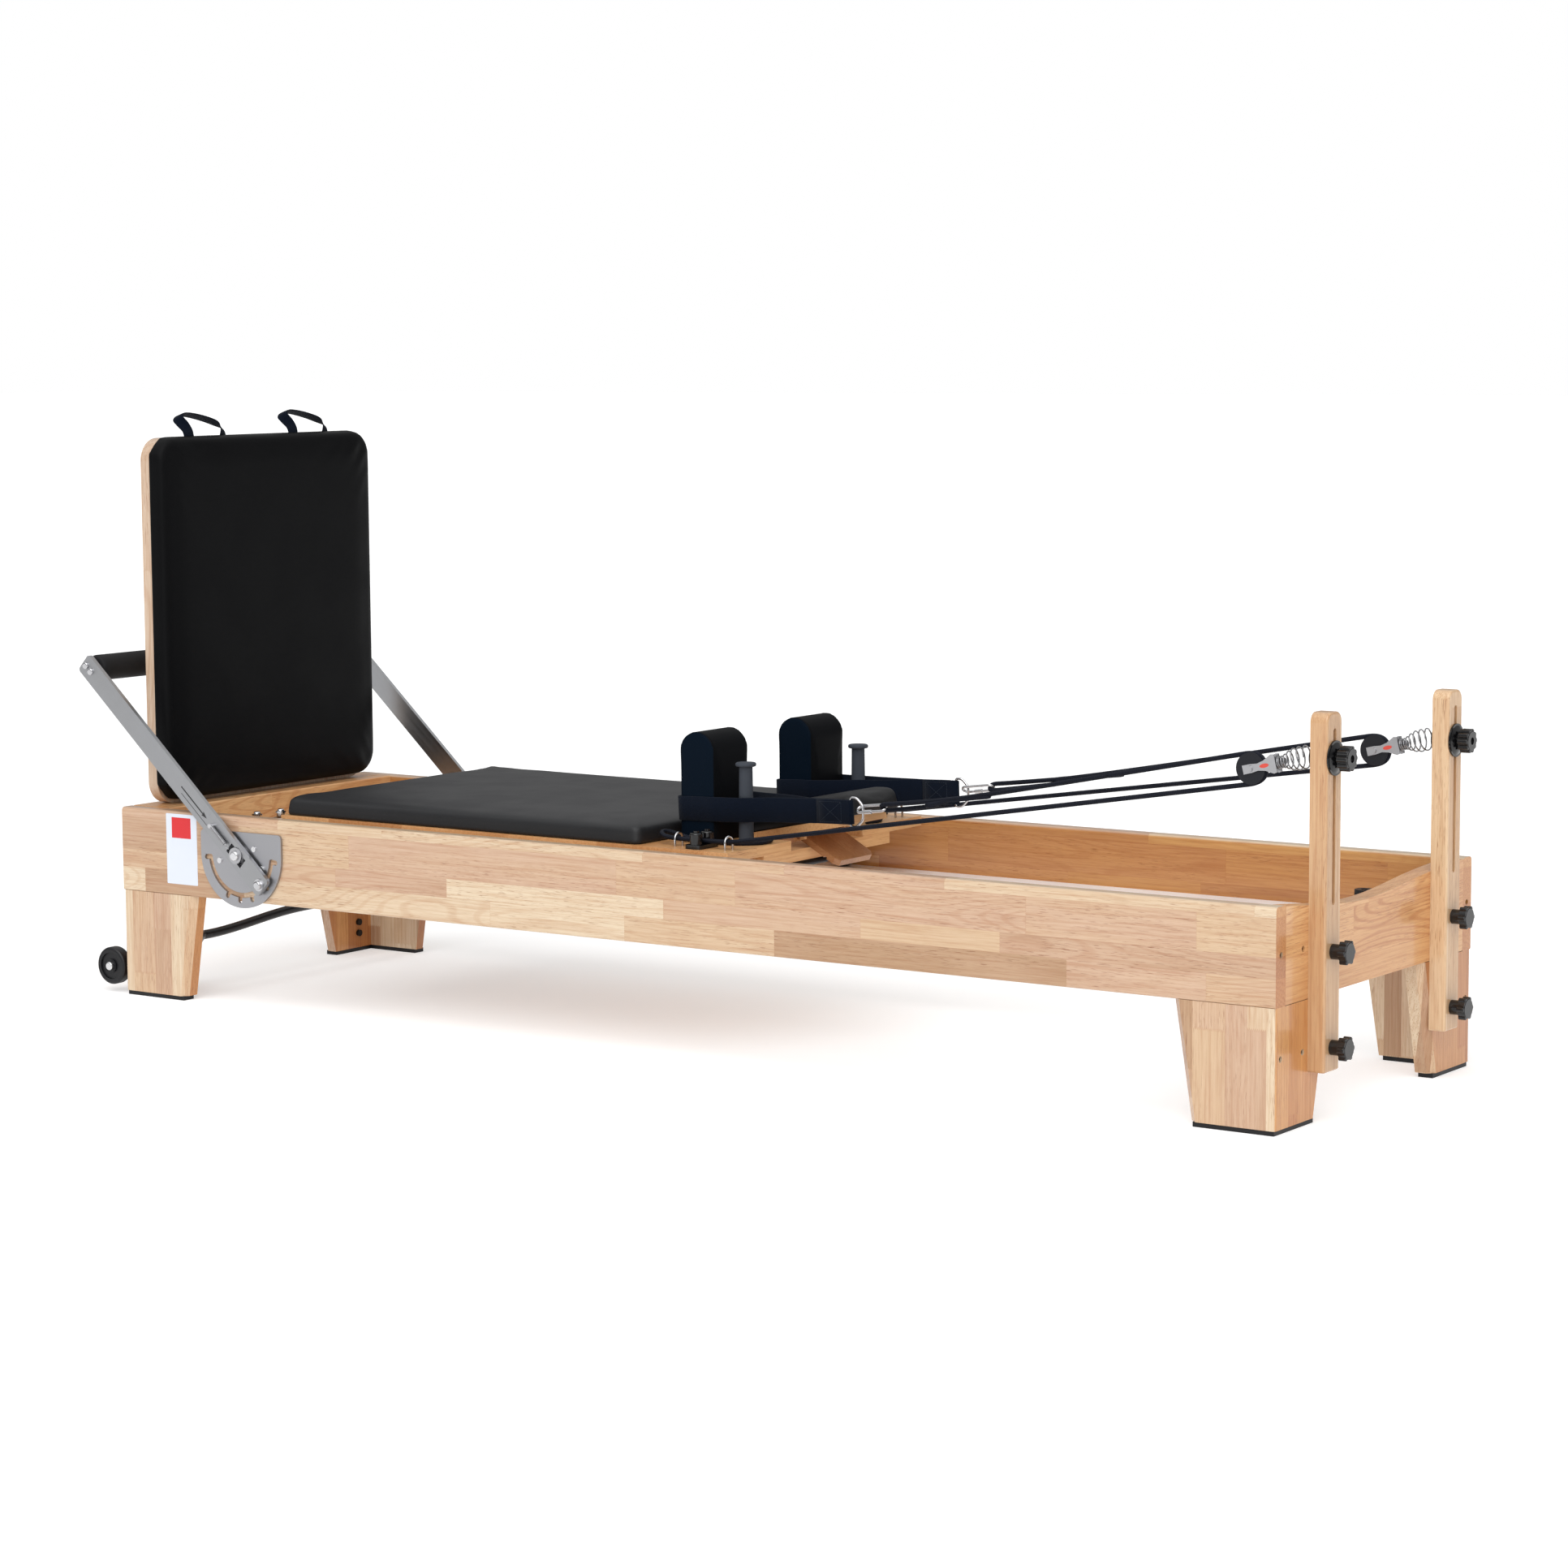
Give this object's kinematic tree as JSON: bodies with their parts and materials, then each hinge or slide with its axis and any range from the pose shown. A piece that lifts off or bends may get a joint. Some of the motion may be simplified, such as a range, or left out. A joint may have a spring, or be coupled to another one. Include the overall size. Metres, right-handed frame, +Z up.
{
  "type": "pilates reformer",
  "caption": "Wooden bed frame with a padded carriage on tracks, upright jumpboard, hinged foot bar, shoulder rests and rope pulleys on slotted risers.",
  "frame": {"origin": "on the floor, at the middle of the machine's overall length and width", "axes": "+X from the foot bar end to the pulley end, +Y to the far side, +Z up"},
  "size_m": [2.5413, 0.7436, 1.077],
  "materials": {
    "rail_wood": "gloss varnish",
    "end_wood": "gloss varnish",
    "leg_wood": "gloss varnish",
    "riser_wood": "gloss varnish",
    "deck_wood": "satin",
    "prop_wood": "satin",
    "black_vinyl": "soft sheen",
    "navy_vinyl": "soft sheen",
    "webbing": "woven",
    "rope_cover": "braided",
    "foam_black": "matt",
    "foam_grey": "matt",
    "foot_rubber": "matt",
    "wheel_rubber": "matt",
    "stainless": "brushed",
    "zinc_steel": "satin",
    "chrome": "polished",
    "track_metal": "anodised",
    "black_steel": "gloss",
    "black_plastic": "gloss",
    "roller_plastic": "matt",
    "spring_steel": "bright"
  },
  "bodies": {
    "frame": {"side_rail_near": "rail_wood", "side_rail_far": "rail_wood", "head_board": "end_wood", "foot_end_boards": "end_wood", "leg_head_near": "leg_wood", "leg_head_far": "leg_wood", "leg_foot_near": "leg_wood", "leg_foot_far": "leg_wood", "foot_pads": "foot_rubber", "tracks": "track_metal", "quadrants": "stainless", "frame_bolts": "chrome", "cross_tube": "black_steel", "spring_bar": "zinc_steel", "stop_bar": "deck_wood", "rubber_bumpers": "foot_rubber", "stop_posts": "chrome", "risers": "riser_wood", "riser_knobs": "black_plastic", "wheel_brackets": "zinc_steel", "jumpboard_sockets": "zinc_steel"},
    "carriage": {"carriage_frame": "deck_wood", "carriage_pad": "black_vinyl", "carriage_brackets": "black_steel", "shoulder_rests": "navy_vinyl", "rest_pegs": "foam_grey", "cleats": "black_plastic", "rope_hardware": "chrome", "straps": "webbing", "rope_near": "rope_cover", "rope_far": "rope_cover", "resistance_springs": "spring_steel"},
    "axle_foot": {"axle_set_foot": "roller_plastic"},
    "axle_head": {"axle_set_head": "roller_plastic"},
    "headrest": {"headrest_board": "deck_wood", "headrest_pad": "black_vinyl"},
    "prop": {"headrest_prop": "prop_wood"},
    "jumpboard": {"jumpboard_back": "end_wood", "jumpboard_pad": "black_vinyl", "jumpboard_handles": "webbing", "jumpboard_straps": "zinc_steel"},
    "footbar_pivot": {"slide_blocks": "zinc_steel"},
    "footbar": {"footbar_arms": "stainless", "footbar_tube": "stainless", "footbar_pad": "foam_black", "footbar_bolts": "chrome", "arm_springs": "spring_steel"},
    "transport_wheel_near": {"transport_wheel_near": "wheel_rubber"},
    "pulley_near": {"pulley_clamp_near": "black_plastic", "pulley_spring_near": "chrome", "pulley_block_near": "zinc_steel"},
    "sheave_near": {"sheave_near": "roller_plastic"},
    "pulley_knob_near": {"pulley_knob_near": "black_plastic"},
    "transport_wheel_far": {"transport_wheel_far": "wheel_rubber"},
    "pulley_far": {"pulley_clamp_far": "black_plastic", "pulley_spring_far": "chrome", "pulley_block_far": "zinc_steel"},
    "sheave_far": {"sheave_far": "roller_plastic"},
    "pulley_knob_far": {"pulley_knob_far": "black_plastic"}
  },
  "joints": [
    {"name": "carriage_slide", "type": "slide", "parent": "frame", "child": "carriage", "axis": [1, 0, 0], "range_m": [0, 0.6], "stiffness_N_per_m": 400, "springref_m": -0.05, "deforming": ["rope_near", "rope_far", "resistance_springs"]},
    {"name": "axle_foot_roll", "type": "hinge", "parent": "carriage", "child": "axle_foot", "pos_m": [-0.75835, 0, 0.2743], "axis": [0, 1, 0], "continuous": true},
    {"name": "axle_head_roll", "type": "hinge", "parent": "carriage", "child": "axle_head", "pos_m": [0.00165, 0, 0.2743], "axis": [0, 1, 0], "continuous": true},
    {"name": "headrest_tilt", "type": "hinge", "parent": "carriage", "child": "headrest", "pos_m": [0.01465, 0, 0.34], "axis": [0, -1, 0], "range_deg": [0, 13]},
    {"name": "prop_fold", "type": "hinge", "parent": "headrest", "child": "prop", "pos_m": [0.14434, 0, 0.35465], "axis": [0, -1, 0], "range_deg": [0, 38]},
    {"name": "jumpboard_lift", "type": "slide", "parent": "frame", "child": "jumpboard", "axis": [0, 0, 1], "range_m": [0, 0.06]},
    {"name": "footbar_swing", "type": "hinge", "parent": "frame", "child": "footbar_pivot", "pos_m": [-0.88835, 0, 0.2835], "axis": [0, -1, 0], "range_deg": [0, 36.2]},
    {"name": "footbar_lock", "type": "slide", "parent": "footbar_pivot", "child": "footbar", "axis": [0.7408, 0, -0.6717], "range_m": [0, 0.01], "deforming": ["arm_springs"]},
    {"name": "pulley_height_near", "type": "slide", "parent": "frame", "child": "pulley_near", "axis": [0, 0, 1], "range_m": [-0.18, 0.037]},
    {"name": "sheave_spin_near", "type": "hinge", "parent": "pulley_near", "child": "sheave_near", "pos_m": [1.09965, -0.214, 0.5445], "axis": [0, 1, 0], "continuous": true},
    {"name": "pulley_knob_turn_near", "type": "hinge", "parent": "pulley_near", "child": "pulley_knob_near", "pos_m": [1.26165, -0.214, 0.5685], "axis": [1, 0, 0], "continuous": true},
    {"name": "transport_wheel_roll_near", "type": "hinge", "parent": "frame", "child": "transport_wheel_near", "pos_m": [-1.22835, -0.333, 0.0495], "axis": [0, 1, 0], "continuous": true},
    {"name": "pulley_height_far", "type": "slide", "parent": "frame", "child": "pulley_far", "axis": [0, 0, 1], "range_m": [-0.169, 0.048]},
    {"name": "sheave_spin_far", "type": "hinge", "parent": "pulley_far", "child": "sheave_far", "pos_m": [1.09965, 0.214, 0.5335], "axis": [0, 1, 0], "continuous": true},
    {"name": "pulley_knob_turn_far", "type": "hinge", "parent": "pulley_far", "child": "pulley_knob_far", "pos_m": [1.26165, 0.214, 0.5575], "axis": [1, 0, 0], "continuous": true},
    {"name": "transport_wheel_roll_far", "type": "hinge", "parent": "frame", "child": "transport_wheel_far", "pos_m": [-1.22835, 0.333, 0.0495], "axis": [0, 1, 0], "continuous": true}
  ],
  "couplings": [
    {"joint": "axle_foot_roll", "follows": "carriage_slide", "rad_per_m": 50},
    {"joint": "axle_head_roll", "follows": "carriage_slide", "rad_per_m": 50}
  ]
}
